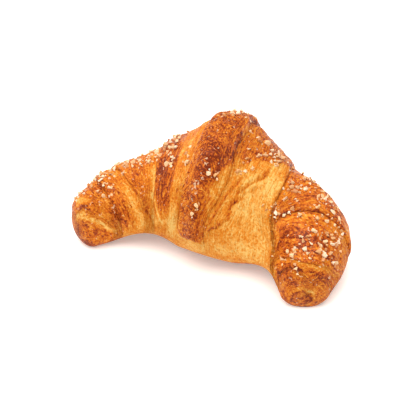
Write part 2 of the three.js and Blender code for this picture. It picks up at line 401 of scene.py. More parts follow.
def plain_proud(half, distance, angle):
    """How far the crust stands proud there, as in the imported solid, with no fine relief."""
    edges = lips_at(half, angle)
    proud = 0.0
    if distance < edges[0]:
        near = min((edges[0] - distance) / TONGUE_ROUND, 1)
        proud = tongue_lift(angle) * rounded(near) * on_tongue(distance / edges[0], angle)
    for k in range(1, len(edges)):
        width = edges[k] - edges[k - 1]
        share = (distance - edges[k - 1]) / width
        if 0 <= share < 1:
            crest = min(share / CREST, 1) ** CREST_POWER
            edge = min((1 - share) * width / LIP_ROUND, 1)
            proud = step_of(half, k, edges) * (crest * rounded(edge) - 0.5)
    if distance >= edges[-1]:
        proud = -0.5 * half.lips[-1].lift * (1 - (distance - edges[-1]) / (half.tip - edges[-1]))
    return (proud + swell(half, distance, angle)) * above_table(angle)


# The edge of a fold, in millimetres: its step, and how far outside it its crevice and its dark line of
# painted shade run
FOLD_STEP = (-0.5, 0.9)
FOLD_CREVICE_OUT = 0.5
FOLD_CREVICE_WIDE = 0.7
FOLD_SHADE_OUT = 0.2
FOLD_SHADE_WIDE = 0.9

# Degrees past a line's ends where it has faded away, and inside them where it is whole
FOLD_FADE = (6, 3)
STRIPE_FADE = (8, 5)

# How a line of the bake wanders: millimetres, degrees for each turn of it, and where in the noise
STRIPE_WANDER = 0.7
WANDER_DEGREES = 9
STRIPE_SEED = 3.1


def on_line(path, degrees, fade):
    """1 along a line of (degrees, place) keys, 0 past its ends, and smooth between."""
    past, inside = fade
    first = path[0][0]
    last = path[-1][0]
    return ease(first - past, first + inside, degrees) * (1 - ease(last - inside, last + past, degrees))


class Fold:
    """The torn edge of a thin layer on the roll's front: its path by angle, its step and its crevice, with
    painted shade along it.
    """

    def __init__(self, path, high, deep, reach, dark):
        self.path = path
        self.high = high
        self.deep = deep
        self.reach = reach
        self.dark = dark

    def at(self, place, degrees):
        """(relief, painted shade) that the fold adds at a place."""
        fade = on_line(self.path, degrees, FOLD_FADE)
        if not fade:
            return 0.0, 0.0
        inside = along(self.path, degrees) - place
        layer = self.high * ease(*FOLD_STEP, inside) * (1 - ease(0, self.reach, inside))
        crevice = bell((inside + FOLD_CREVICE_OUT) / FOLD_CREVICE_WIDE)
        dark = bell((inside + FOLD_SHADE_OUT) / FOLD_SHADE_WIDE)
        return fade * (layer - self.deep * crevice), fade * self.dark * dark


# Folds across the belly, as (angle in degrees, place)
FOLDS = [
    Fold([(90, 28.2), (96, 29), (102, 28.3), (112, 27), (121, 25.7), (128, 27), (135, 26.2), (141, 28),
          (147, 29.4), (151, 27.5), (155, 25.7), (160, 23.7), (164, 19), (168, 17)],
         high=1.2, deep=0.6, reach=11, dark=0.38),
    Fold([(104, 33), (107, 31), (112, 30.5), (118, 28.6), (125, 28.4), (131, 27)],
         high=0.7, deep=0.4, reach=6, dark=0.26),
    Fold([(108, 22.6), (114, 21.6), (121, 21.8), (128, 20.4), (134, 21.2), (140, 20.4), (146, 20.6),
          (152, 19.4), (158, 18.2), (165, 15.8)],
         high=0.5, deep=0.4, reach=4, dark=0.24),
    Fold([(147, 47), (153, 48), (159, 49.5), (165, 51.5)],
         high=0.4, deep=0.3, reach=6, dark=0.16),
]


class Stripe:
    """A line on one half where the crust is paler or darker, by its bake or by painted shade: its path by
    angle, width and change.
    """

    def __init__(self, half, wide, change, path):
        self.half = half
        self.wide = wide
        self.change = change
        self.path = [(degrees, along_skin(half, distance)) for degrees, distance in path]

    def at(self, skin, degrees):
        """The change of the bake that the stripe makes at a distance along the skin."""
        fade = on_line(self.path, degrees, STRIPE_FADE)
        if not fade:
            return 0.0
        spot = Vector((degrees / WANDER_DEGREES, STRIPE_SEED * self.wide, self.path[0][1]))
        wander = STRIPE_WANDER * noise.noise(spot)
        away = (skin - along(self.path, degrees) - wander) / self.wide
        return fade * self.change * bell(away)


# Paler and darker lines of the arms: half, width, change, and their path as (angle in degrees, distance)
STRIPES = [
    Stripe(LEFT, 2.3, -0.50, [(80, 82.3), (121, 81.4), (137, 80.0), (149, 77.8), (158, 74.8), (170, 71.7),
                              (182, 68.0)]),
    Stripe(LEFT, 0.9, 0.26, [(83, 81.0), (96, 80.3), (104, 79.1), (119, 78.2), (131, 76.2), (140, 73.5)]),
    Stripe(LEFT, 2.4, -0.42, [(66, 79.0), (84, 78.8), (104, 77.4)]),
    Stripe(LEFT, 3.0, 0.05, [(127, 71.8), (134, 69.8), (144, 67.3), (153, 64.1), (161, 60.5), (172, 58.5)]),
    Stripe(LEFT, 1.6, 0.25, [(187, 71.4), (200, 77.5), (212, 81.4)]),
    Stripe(LEFT, 1.6, -0.08, [(88, 56.7), (110, 56.4), (129, 55.4), (142, 53.2), (157, 51.2), (173, 48.4)]),
    Stripe(LEFT, 0.8, -0.34, [(95, 37.4), (119, 38.3), (134, 40.6), (151, 39.1), (160, 37.5), (173, 34.9)]),
    # Painted shade: a dark line along the tongue's left edge
    Stripe(LEFT, 0.9, 0.20, [(112, 12.6), (130, 15.3), (145, 17.6), (160, 19.6), (172, 20.6)]),
    Stripe(LEFT, 1.1, 0.16, [(100, 50.6), (120, 49.6), (137, 46.8), (155, 44.8), (166, 43.6)]),
    Stripe(RIGHT, 1.3, -0.07, [(38, 61.3), (55, 58.8), (69, 57.0), (81, 55.6), (95, 54.4), (111, 53.2),
                               (130, 53.0)]),
    Stripe(RIGHT, 1.4, -0.14, [(33, 78.2), (70, 79.4), (98, 79.4), (118, 76.7), (137, 71.6), (160, 67.2)]),
    Stripe(RIGHT, 1.0, 0.20, [(60, 81.4), (93, 81.6), (115, 81.0), (136, 79.0), (155, 77.0)]),
    Stripe(RIGHT, 0.9, 0.22, [(60, 70.5), (85, 68.5), (105, 65.5), (125, 61.5)]),
    Stripe(RIGHT, 0.8, 0.14, [(70, 74.0), (95, 72.5), (115, 69.5), (130, 66.0)]),
    # A little painted shade: darker along the right arm's first lip and down into the valley beside the
    # belly
    Stripe(RIGHT, 2.2, 0.05, [(93, 38.7), (105, 44.5), (126, 52.6), (149, 60.0), (161, 70.0), (169, 77.1)]),
]

# The orange, dry crust beside the tongue ends at this line across the belly's top: (place, degrees)
DRY_EDGE = [(8, 100), (17.7, 99), (20, 86), (25.5, 78), (28, 67), (33, 58)]
DRY_BAKE = 0.68
DRY_FADE = 4
DRY_WANDER = 4
DRY_WANDER_LONG = 4
DRY_WANDER_ROUND = 20
DRY_SEED = 3.3
BELLY_BAKE = 0.26

# The pale crust low in front, in degrees, and its bake near the middle and on the arms
LOW_START = (158, 196)
LOW_END = (236, 262)
LOW_BAKE = 0.30
LOW_BAKE_ARMS = 0.55
LOW_ARMS_FROM = 62
LOW_SHARE = 0.8

# The browner back and the dark underside, in degrees; the underside's dark is partly its own bake and
# partly painted shade along the roll's lower edge
BACK_END = (15, 55)
BACK_BAKE = 0.64
BACK_SHARE = 0.6
UNDER_START = (206, 224)
UNDER_END = (-60, -35)
UNDER_BAKE_AND_SHADE = 0.82

# How far the dark part of the free end reaches to each side, by angle in degrees, and the bake beside it
TONGUE_DARK_LEFT = [(85, 10), (111, 5.4), (130, 7.4), (142, 9.6), (157, 15.7), (170, 17)]
TONGUE_DARK_RIGHT = [(78, 7.5), (92, 11.5), (110, 12.8), (125, 11.9), (140, 13.2), (157, 14.8), (175, 14.2)]
TONGUE_DARK_EDGE = (-1.2, 1.4)
TONGUE_DARK_WANDER = 1.2
TONGUE_DARK_SEED = 7.7
TONGUE_BAKE = [(40, 0.70), (85, 0.80), (108, 0.85), (126, 0.87), (142, 0.74), (176, 0.72)]
LEFT_OF_DARK = 0.64
RIGHT_OF_DARK = 0.36
# Painted shade along the rounded rim of the tongue
TONGUE_RIM_SHADE = 0.16

# Spots where the crust is darker or paler: place, angle in degrees, reach along and round, change
SPOTS = [
    (4, 115, 5, 6, 0.14), (0, 158, 7, 6, 0.10), (0, 92, 9, 9, -0.08), (-4, 176, 9, 5, 0.10),
    (2, 138, 5, 8, 0.10), (-9, 140, 3, 14, -0.12), (8, 70, 9, 12, -0.06),
    (34, 84, 4, 12, 0.12), (19, 80, 3, 5, 0.15),
    (-70, 112, 4, 14, -0.10), (-66, 140, 4, 16, 0.02),
    (-30, 175, 12, 13, -0.12), (-22, 172, 4, 14, -0.05), (-52, 176, 6, 10, -0.15),
    (60, 118, 4, 16, 0.12), (58, 140, 4, 7, 0.12), (79, 118, 3, 14, 0.10), (52, 100, 3, 14, 0.08),
    (14, 195, 22, 10, 0.03), (22, 130, 3, 14, 0.08), (42, 160, 12, 5, 0.06), (30, 150, 3, 9, 0.08),
    (23, 99, 6, 10, 0.14), (-20, 115, 4, 20, 0.06), (-32, 105, 4, 16, 0.08), (82, 210, 5, 20, 0.15),
    (80.3, 151, 0.8, 4, 0.22), (80.5, 181, 0.8, 5, 0.26), (76, 157, 1, 3, 0.26), (21, 162, 1.3, 2.2, 0.3),
    (16.5, 166, 1.3, 2, 0.25), (-31, 164, 11, 12, -0.45), (38, 93, 6, 10, -0.30), (27, 107, 5, 9, -0.32),
    (24.8, 127, 5, 7, -0.16), (17, 125, 3.5, 7, -0.10), (14.5, 156, 2.5, 8, -0.26), (-80, 183, 6, 9, 0.28),
    (83, 143, 2, 8, 0.22), (-37, 105, 4, 8, 0.10), (-41, 86, 5, 8, 0.16), (4, 190, 12, 8, -0.20),
    (-23, 184, 8, 8, -0.16), (81, 186, 3, 8, 0.16), (73, 170, 4, 6, -0.14), (65, 26, 6, 10, -0.16),
    (56, 60, 4, 8, -0.14), (82, 70, 2, 8, -0.14), (26, 146, 4, 7, -0.14), (-30, 88, 3, 8, -0.12),
    (-48, 96, 4, 7, 0.12), (24.5, 166, 2, 4, 0.14), (56, 137, 3, 7, -0.20), (-48, 171, 5, 7, -0.12),
    (46, 75, 3, 8, 0.12), (72, 95, 4, 18, 0.10), (5, 132, 3, 6, 0.10), (6.4, 158, 4, 5, 0.12),
    (80, 141, 3, 8, 0.12), (44.5, 104, 2.5, 5, -0.14), (57, 154, 3, 6, 0.08), (-78, 98, 3, 6, 0.10),
    (-62, 118, 3, 7, -0.10), (40, 185, 12, 6, -0.10), (45, 173, 14, 12, -0.12), (38, 122, 8, 14, -0.09),
    (5, 66, 6, 9, -0.14), (19, 97, 5, 6, 0.08), (-56, 92, 4, 8, 0.06),
]
SPOT_ENDS = 6  # squared, in reaches from its middle

# Mounds and hollows of the whole crust: place, angle in degrees, reach along and round, height
MOUNDS = [
    (7, 50, 4, 22, 1.6), (-12, 74, 6, 24, 2.4), (-22, 72, 5, 24, -1.2), (25, 46, 8, 24, -1.8),
    (56, 130, 6, 9, 1.2), (60, 142, 7, 9, 1.5), (66, 156, 7, 10, 1.6), (70, 172, 7, 12, 1.4),
]

# Where more painted highlights, peach glints, go on the crust: place, angle in degrees, reach along and
# round, how much
GLINT_SPOTS = [(1, 139, 4, 8, 1.3), (2, 122, 5, 4, 0.5), (-45, 125, 3, 10, 0.7), (-73, 112, 6, 12, 0.5),
       (79, 108, 4, 16, 0.7), (72, 96, 8, 16, 0.1), (57, 84, 8, 16, 0.15), (-2, 176, 8, 4, 0.5)]


def round_spots(spots, place, degrees):
    """The sum of some round spots (place, degrees, reach along, reach round, height) at a place."""
    total = 0.0
    for spot, at, long, wide, high in spots:
        away = (place - spot) ** 2 / long**2 + (degrees - at) ** 2 / wide**2
        if away < SPOT_ENDS:
            total += high * math.exp(-away)
    return total


def tongue_bake(half, share, place, angle):
    """How dark the tongue baked there, with the paler crust beside it and the belly past its end."""
    degrees = math.degrees(angle)
    reach = TONGUE_DARK_LEFT if half.sign < 0 else TONGUE_DARK_RIGHT
    beside = LEFT_OF_DARK if half.sign < 0 else RIGHT_OF_DARK
    spot = Vector((degrees / WANDER_DEGREES, half.sign, TONGUE_DARK_SEED))
    wander = TONGUE_DARK_WANDER * noise.fractal(spot, *WRINKLE_NOISE)
    past = abs(place) - along(reach, degrees) - wander
    tone = mix(along(TONGUE_BAKE, degrees), beside, ease(*TONGUE_DARK_EDGE, past))
    return mix(BELLY_BAKE, tone, on_tongue(share, angle - TONGUE_END_SLOPE / 2))


def dry_bake(tone, place, degrees):
    """The bake of the belly, orange and dry at its top."""
    spot = Vector((place / DRY_WANDER_LONG, degrees / DRY_WANDER_ROUND, DRY_SEED))
    past = degrees - along(DRY_EDGE, place) - DRY_WANDER * noise.noise(spot)
    return mix(DRY_BAKE, tone, ease(-DRY_FADE, DRY_FADE, past))


def bake_at(half, number, share, place, angle):
    """How dark the crust baked there, 0 to 1."""
    degrees = math.degrees(angle)
    if number == 0:
        tone = tongue_bake(half, share, place, angle)
    else:
        tone = along(half.lips[number].bake if number < len(half.lips) else half.end_bake, share)
        if number == 1 and half.sign > 0:
            tone = dry_bake(tone, place, degrees)
        low = ease(*LOW_START, degrees) * (1 - ease(*LOW_END, degrees))
        pale_low = LOW_BAKE if abs(place) < LOW_ARMS_FROM else LOW_BAKE_ARMS
        tone = mix(tone, min(tone, pale_low), LOW_SHARE * low)
        behind = 1 - ease(*BACK_END, degrees)
        tone = mix(tone, mix(tone, BACK_BAKE, BACK_SHARE), behind)
    # The underside darkens: partly its baked brown, partly painted shade under the roll's lower edge
    under = ease(*UNDER_START, degrees) + (1 - ease(*UNDER_END, degrees))
    tone = mix(tone, UNDER_BAKE_AND_SHADE, clamp(under))
    return tone + round_spots(SPOTS, place, degrees)


def column_angles():
    """The angles of the columns, close together in front and on top, wide apart underneath."""
    def density(angle):
        front = ease(*FRONT_START, angle) * (1 - ease(*FRONT_END, angle))
        back = ease(*BACK_START, angle) * (1 - ease(*FRONT_START, angle))
        return CLOSE_UNDER + CLOSER_FRONT * front + CLOSER_BACK * back

    start = math.degrees(SEAM)
    total = sum(density(start + i / 2) for i in range(HALF_DEGREES))
    angles = [SEAM]
    reached = 0.0
    for i in range(HALF_DEGREES):
        reached += density(start + i / 2)
        while len(angles) < COLUMNS and reached >= total * len(angles) / COLUMNS:
            angles.append(math.radians(start + (i + 1) / 2))
    return angles + [SEAM + 2 * math.pi]


class Column:
    """The lips of a half at one angle, with the top, foot and rounding of each turn."""

    def __init__(self, half, angle):
        self.half = half
        self.angle = angle
        self.edges = lips_at(half, angle, LIP_WANDER)
        beside = on_tongue(TONGUE_BESIDE, angle)
        tongue = rounded(on_tongue(1, angle))
        self.tops = [tongue_lift(angle) * tongue]
        self.plains = [0.0]
        self.feet = [0.0]
        self.room = [1.0]
        self.layers = [0.0]
        for k in range(1, len(self.edges)):
            step = step_of(half, k, self.edges) * half.lips[k].left_at(angle)
            hug = beside if k == 1 else 1.0
            left = half.lips[k - 1].left_at(angle)
            self.room.append(ease(CROWDED, ROOMY, self.edges[k] - self.edges[k - 1]))
            groove = half.lips[k - 1].groove * hug * left * self.room[k]
            self.layers.append(self.layers[-1] + left * self.room[k])
            self.plains.append(mix(self.tops[-1], -0.5 * step * hug, left))
            self.tops.append(0.5 * step)
            self.feet.append(self.plains[-1] - groove)
        self.plains.append(-0.5 * half.lips[-1].lift)
        self.feet.append(self.plains[-1] - half.lips[-1].groove)
        self.room.append(1.0)
        self.layers.append(self.layers[-1] + 1.0)
        if half.sign > 0:
            self.tops[0] *= 1 - TONGUE_SLOPE_DROP * ease(*TONGUE_SLOPE_TURN, upright(angle))
        self.rounds = []
        self.turns = []
        for k, edge in enumerate(self.edges):
            width = edge - (self.edges[k - 1] if k else 0)
            drop = self.tops[k] - self.feet[k + 1]
            self.rounds.append(max(min(drop / 2, LIP_ROUND, NOSE_SHARE * width), NOSE_LEAST))
            self.turns.append(mix(NOSE_TURN_FLAT, half.lips[k].nose_turn, clamp(drop)))

    def tucked(self, number):
        """Where a lip's nose ends, back under its edge."""
        return self.edges[number] - self.rounds[number] * (1 - math.sin(self.turns[number]))

    def face(self, number, share):
        """(distance, proud) on a turn's face, from its crevice to where its lip starts to round."""
        start = self.tucked(number - 1) if number else 0.0
        end = self.edges[number] - self.rounds[number]
        distance = mix(start, end, share)
        if number == 0:
            proud = tongue_lift(self.angle) * rounded(on_tongue(share, self.angle))
            if self.half.sign > 0:
                slope = ease(TONGUE_SLOPE_FROM, 1, share)
                proud = mix(proud, min(self.tops[0], proud), slope)
            return distance, proud
        crest = min(share / CREST, 1) ** CREST_POWER
        groove = bell((distance - start) / GROOVE_WIDE)
        return distance, mix(mix(self.plains[number], self.tops[number], crest), self.feet[number], groove)

    def nose(self, number, share):
        """(distance, proud) on a lip's rounded nose, which tucks back under itself."""
        whole = self.turns[number]
        turned = share * whole
        sunk = (1 - math.cos(turned)) / (1 - math.cos(whole))
        distance = self.edges[number] - self.rounds[number] * (1 - math.sin(turned))
        return distance, mix(self.tops[number], self.feet[number + 1], sunk)

    def end(self, share):
        """(distance, proud) past the last lip, to the tip."""
        reach = 1 - (1 - share) ** 2
        distance = mix(self.tucked(-1), self.half.tip, reach)
        return distance, self.feet[-1] * (1 - ease(0, GROOVE_END, share))


def rows_of(half, columns):
    """The rows of a half from the middle out: (kind, turn, share, grain along the roll)."""
    rows = []
    grain = 0.0
    for number in range(len(half.lips)):
        start = sum(column.edges[number - 1] for column in columns) / len(columns) if number else 0.0
        end = sum(column.edges[number] for column in columns) / len(columns)
        count = max(round((end - start) / ROW_STEP), LEAST_ROWS)
        for i in range(count + 1):
            rows.append(("face", number, i / count, grain + (end - start) * i / count))
        grain += end - start
        for i in range(1, NOSE_ROWS):
            rows.append(("nose", number, i / NOSE_ROWS, grain + NOSE_GRAIN * i))
        grain += NOSE_GRAIN * NOSE_ROWS
    for i in range(END_ROWS + 1):
        rows.append(("end", len(half.lips), i / END_ROWS, grain + END_GRAIN * i / END_ROWS))
    return rows


def crosswise(half, number, share, degrees):
    """1 where the crust is wrinkled across, as on the tongue's dark part, 0 where its grain runs round."""
    if number or not CROSS_FROM < degrees < CROSS_TO:
        return 0.0
    return 1 - ease(*CROSS_EDGE, share) if half.sign > 0 else 1.0


def relief_of(across, around, seed, wrinkle_reach, fibre_reach):
    """Wrinkles and fibres of these reaches."""
    long, wide = wrinkle_reach
    wrinkle = noise.fractal(Vector((across / long, around / wide, seed)), *WRINKLE_NOISE)
    long, wide = fibre_reach
    fibre = noise.fractal(Vector((across / long, around / wide, seed + 3)), *FIBRE_NOISE)
    return WRINKLE_HIGH * wrinkle + FIBRE_HIGH * fibre


def fine_relief(half, number, layer, grain, angle, cross):
    """Wrinkles and coarse fibres, which run round the roll with the turns of dough, or across it.

    Turns that have melted into one another share a layer, so that these run on from one to the next.
    """
    across = grain * half.sign
    around = angle * GRAIN_ROUND
    seed = LAYER_SEED * layer + HALF_SEED * half.sign * min(number, 1)
    relief = relief_of(across, around, seed, WRINKLE, FIBRE)
    if cross:
        crossing = relief_of(across, around, CROSS_SEED, CROSS_WRINKLE, CROSS_FIBRE)
        relief = mix(relief, CROSSWISE_GAIN * crossing, cross)
    return relief


def curl(half, share, angle):
    """(relief, bake with painted shade) of the rolled-up layers on an end: a pale ridge round a crevice
    darkened by painted shade, and a knot.
    """
    u = (share * math.cos(angle) - CURL_MIDDLE[0]) * CURL_ACROSS
    v = (share * math.sin(angle) - CURL_MIDDLE[1]) * CURL_ACROSS
    lumps = noise.fractal(Vector((u / CURL_LUMP_WIDE, v / CURL_LUMP_WIDE, CURL_SEED)), *WRINKLE_NOISE)
    out = math.hypot(u, v) + CURL_LUMPS * lumps
    ridge = bell((out - CURL_ROUND) / RIDGE_WIDE)
    crevice = bell((out - CURL_ROUND + CREVICE_INSIDE) / CREVICE_WIDE)
    knot = bell(out / KNOT_WIDE)
    pale = bell(out / CURL_PALE_WIDE)
    relief = CURL_HIGH * ridge - CURL_DEEP * crevice + KNOT_HIGH * knot
    bake = CREVICE_SHADE * crevice - RIDGE_PALE * ridge - CURL_PALE * pale + LUMP_DARK * lumps
    return half.curl * relief, half.curl * bake


def make_crust():
    """The whole roll as one closed skin, with its bake and its grain on it."""
    angles = column_angles()
    left = [Column(LEFT, angle) for angle in angles]
    right = [Column(RIGHT, angle) for angle in angles]
    rows = [(LEFT, left, row) for row in reversed(rows_of(LEFT, left)[1:])]
    rows += [(RIGHT, right, row) for row in rows_of(RIGHT, right)]

    bm = bmesh.new()
    bmesh.ops.create_grid(bm, x_segments=COLUMNS, y_segments=len(rows) - 1, size=1)
    bake_layer = bm.verts.layers.float.new("bake")
    cross_layer = bm.verts.layers.float.new("crosswise")
    glint_spot_layer = bm.verts.layers.float.new("glint_spots")
    grain_layer = bm.verts.layers.float_vector.new("grain")
    bm.verts.ensure_lookup_table()
    for i, (half, columns, (kind, number, share, grain)) in enumerate(rows):
        for j, column in enumerate(columns):
            angle = column.angle
            if kind == "face":
                distance, proud = column.face(number, share)
                turn_share = share
            elif kind == "nose":
                distance, proud = column.nose(number, share)
                turn_share = 1.0
            else:
                distance, proud = column.end(share)
                turn_share = share
            place = half.sign * distance
            tone = bake_at(half, number, turn_share, place, angle)
            if number > 1:
                tone = mix(mix(tone, CROWDED_BAKE, CROWDED_SHARE), tone, column.room[number])
            degrees = math.degrees(angle)
            if half.sign > 0 and number == 1:
                # The folds' steps and crevices, with painted shade along the crevices
                for fold in FOLDS:
                    relief, dark = fold.at(place, degrees)
                    proud += relief
                    tone += dark
            skin = along_skin(half, distance)
            tone += sum(stripe.at(skin, degrees) for stripe in STRIPES if stripe.half is half)
            layer = column.layers[number]
            cross = crosswise(half, number, turn_share, degrees)
            rough = fine_relief(half, number, layer, grain, angle, cross)
            if kind == "end":
                radial = cap_share(half, distance)
                rough *= radial
                relief, dark = curl(half, radial, angle)
                proud += relief
                tone += dark
            # Painted shade on a lip's nose: darker the further it turns under and the deeper its groove,
            # and darker again on the tongue's rim
            if kind == "nose":
                shade = NOSE_SHADE + GROOVE_SHADE * half.lips[number].groove
                if number == 0:
                    shade += TONGUE_RIM_SHADE
                left = half.lips[number].left_at(angle) * column.room[number + 1]
                tone += shade * share * left
                rough *= 1 - 0.5 * share * left
            proud += rough + swell(half, distance, angle) + round_spots(MOUNDS, place, degrees)
            vert = bm.verts[i * (COLUMNS + 1) + j]
            vert.co = crust_point(half, distance, angle, proud * above_table(angle))
            vert[bake_layer] = clamp(tone)
            vert[grain_layer] = (grain * half.sign, angle * GRAIN_ROUND, LAYER_SEED * layer)
            vert[cross_layer] = cross
            vert[glint_spot_layer] = round_spots(GLINT_SPOTS, place, degrees)
    bmesh.ops.remove_doubles(bm, verts=bm.verts, dist=MERGE_WITHIN)
    bmesh.ops.recalc_face_normals(bm, faces=bm.faces)
    return finished("crust", bm)


def finished(name, bm, smooth=True):
    """A bmesh as an object of the scene."""
    mesh = bpy.data.meshes.new(name)
    bm.to_mesh(mesh)
    bm.free()
    for face in mesh.polygons:
        face.use_smooth = smooth
    piece = bpy.data.objects.new(name, mesh)
    bpy.context.scene.collection.objects.link(piece)
    return piece


# Patches of crumbs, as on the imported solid: place, angle in degrees, reach along, reach round, count
PATCHES = [
    (-66, 92, 7, 20, 15), (-51, 70, 10, 14, 24), (-55, 50, 11, 9, 12), (-38, 73, 7, 12, 16),
    (-38, 52, 6, 8, 7), (-29, 94, 3, 14, 6), (-18, 101, 2, 13, 4), (3, 152, 3, 7, 3), (-1, 66, 6, 10, 11),
    (2, 48, 6, 8, 7), (21, 73, 6, 9, 13), (18, 96, 5, 12, 4), (41, 78, 4, 9, 10),
    (47, 91, 3, 7, 6), (48, 56, 8, 14, 18), (49, 112, 5, 8, 5), (57, 60, 4, 13, 6), (70, 60, 7, 20, 30),
    (71, 88, 5, 10, 8), (72, 128, 6, 18, 6),
]

# Small crumbs strewn thinly between them
LOOSE_PATCHES = [
    (-24, 66, 5, 12, 14), (-60, 72, 12, 14, 16), (-6, 60, 8, 10, 10), (8, 58, 6, 10, 10),
    (62, 46, 12, 12, 14), (44, 108, 6, 8, 10), (76, 110, 5, 14, 8), (26, 66, 8, 10, 8),
]

# Tight clusters of a few crumbs
CLUSTERS = [
    (37, 75, 1.5, 4, 4), (41, 80, 1.8, 4, 5), (48, 90, 2, 5, 7), (50, 106, 3, 5, 8), (57, 67, 1.5, 5, 3),
    (58, 51, 1, 3, 2), (56, 85, 2, 4, 2), (65, 78, 1, 2, 1), (69, 64, 2, 5, 5), (66, 44, 2, 5, 4),
    (72, 60, 2, 5, 4), (72, 89, 2, 4, 4), (76, 91, 1.5, 4, 3), (70, 121, 0.5, 2, 1), (65, 156, 0.5, 2, 1),
    (73, 135, 1.5, 4, 3), (75, 118, 0.5, 2, 1), (78, 58, 1.5, 5, 5), (74, 36, 2, 6, 5), (72, 161, 1, 3, 2),
    (38, 58, 3, 5, 7), (46, 51, 3, 5, 7), (19, 82, 1.5, 4, 3), (23, 74, 2, 4, 6), (21, 57, 2, 4, 4),
    (15, 62, 2, 4, 4), (26, 61, 2, 4, 3), (20, 105, 0.5, 2, 1), (13, 84, 1, 3, 1),
    (-16, 96, 0.5, 2, 1), (-16, 115, 0.7, 2, 2), (-29, 81, 1.5, 4, 4), (-28, 95, 1, 3, 2),
    (-30, 105, 1, 3, 2), (-26, 73, 1.5, 4, 3), (-43, 76, 2.5, 5, 8), (-48, 71, 3, 5, 7), (-54, 66, 2, 4, 6),
    (-59, 60, 2.5, 6, 6), (-62, 74, 2.5, 6, 7), (-63, 110, 0.5, 2, 2), (-65, 97, 1, 3, 1),
    (-70, 86, 1.5, 4, 4), (-63, 124, 1, 3, 1),
    (3, 153, 0.5, 2, 1), (5, 157, 0.5, 2, 1), (7, 127, 1, 2, 2), (12, 125, 0.5, 2, 1),
]

# Wider clusters along the back rim, where they stand out against the table
RIM_CLUSTERS = [
    (-75, 58, 4, 8, 5), (-66, 54, 5, 6, 9), (-52, 52, 6, 6, 11), (-38, 54, 5, 6, 9), (-24, 54, 4, 6, 6),
    (-6, 46, 4, 8, 6), (4, 44, 5, 8, 8), (36, 50, 4, 6, 5), (50, 44, 5, 8, 8), (60, 38, 5, 8, 9),
    (71, 40, 4, 9, 7),
]

# Half widths of the crumbs in millimetres, how they are set and how they are cut
CLUSTER_LARGE = 1.45
CLUSTER_SMALL = 0.65
CRUMB_SEED = 20531
CRUMB_SMALL = 0.85
CRUMB_LARGE = 1.55
CRUMB_SUNK = 0.35
CRUMB_APART = 1.05
CRUMB_CORNERS = 11
EXTRA_CRUMBS = 0.55  # how many loose small crumbs there are for each large one
EXTRA_SMALL = 0.35
EXTRA_LARGE = 0.95
LOOSE_LARGE = 1.0
CLUSTER_MOST = 3  # how many small crumbs may stick to a large one
STUCK_AWAY = 0.8
STUCK_APART = 0.6
SUGAR_SHARE = 0.5
SEEN_SIZE = 1.07  # the grains in view are a little larger than those of the solid
CRUMB_LEAST = 0.7  # how flat a crumb may be, and how much longer than that
CRUMB_VARIES = 0.6
CORNER_LEAST = 0.85
CORNER_VARIES = 0.25


# The seeded draws: each one from the one before, as in the part's source
DRAW_TIMES = 1664525
DRAW_PLUS = 1013904223
DRAW_RANGE = 2**32
DRAW_REACH = 1.2


class Dice:
    """Seeded draws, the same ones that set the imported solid's crumbs."""

    def __init__(self, seed):
        self.draw = seed

    def chance(self):
        """A draw between 0 and 1."""
        self.draw = (self.draw * DRAW_TIMES + DRAW_PLUS) % DRAW_RANGE
        return self.draw / DRAW_RANGE

    def around(self, spread):
        """A draw round 0, most often near it."""
        return (self.chance() + self.chance() + self.chance() - 1.5) * spread * DRAW_REACH


def strew(dice, placed, patch, large, small, share=1):
    """Sets a share of a patch's crumbs round it, largest first, where there is room."""
    at, angle, long, wide, most = patch
    count = round(most * share)
    for i in range(count):
        size = mix(large, small, i / count)
        place = at + dice.around(long)
        round_at = math.radians(angle) + dice.around(math.radians(wide))
        set_crumb(dice, placed, place, round_at, size, CRUMB_APART)


def set_crumb(dice, placed, place, angle, size, apart):
    """Sets one crumb on the crust, unless it would sit on another."""
    turn = Euler([dice.chance() * math.pi for _ in range(3)])
    half = LEFT if place < 0 else RIGHT
    distance = abs(place)
    proud = plain_proud(half, distance, angle) + size * (0.5 - CRUMB_SUNK)
    spot = crust_point(half, distance, angle, proud)
    if all((spot - other[0]).length > apart * (other[1] + size) * MM for other in placed):
        placed.append((spot, size, turn, place, angle))


def stick(dice, placed, size, place, angle):
    """Sets up to a few small crumbs against a large one."""
    for _ in range(int(dice.chance() * (CLUSTER_MOST + 1))):
        small = mix(EXTRA_SMALL, EXTRA_LARGE, dice.chance())
        way = dice.chance() * 2 * math.pi
        away = STUCK_AWAY * (size + small)
        round_at = angle + away * math.sin(way) / GRAIN_ROUND
        set_crumb(dice, placed, place + away * math.cos(way), round_at, small, STUCK_APART)


def cut_crumb(dice, bm, shade_layer, shade, spot, size, turn):
    """Adds one crumb to a bmesh, as the hull of some corners round its middle."""
    stretch = Vector([CRUMB_LEAST + CRUMB_VARIES * dice.chance() for _ in range(3)])
    corners = []
    for _ in range(CRUMB_CORNERS):
        way = Vector([dice.chance() - 0.5 for _ in range(3)]).normalized()
        corner = Vector([way[axis] * stretch[axis] for axis in range(3)])
        corner = corner * size * (CORNER_LEAST + CORNER_VARIES * dice.chance())
        corner.rotate(turn)
        vert = bm.verts.new(spot + corner * MM)
        vert[shade_layer] = shade
        corners.append(vert)
    hull = bmesh.ops.convex_hull(bm, input=corners)
    loose = [item for item in hull["geom_interior"] if isinstance(item, bmesh.types.BMVert)]
    bmesh.ops.delete(bm, geom=loose, context="VERTS")


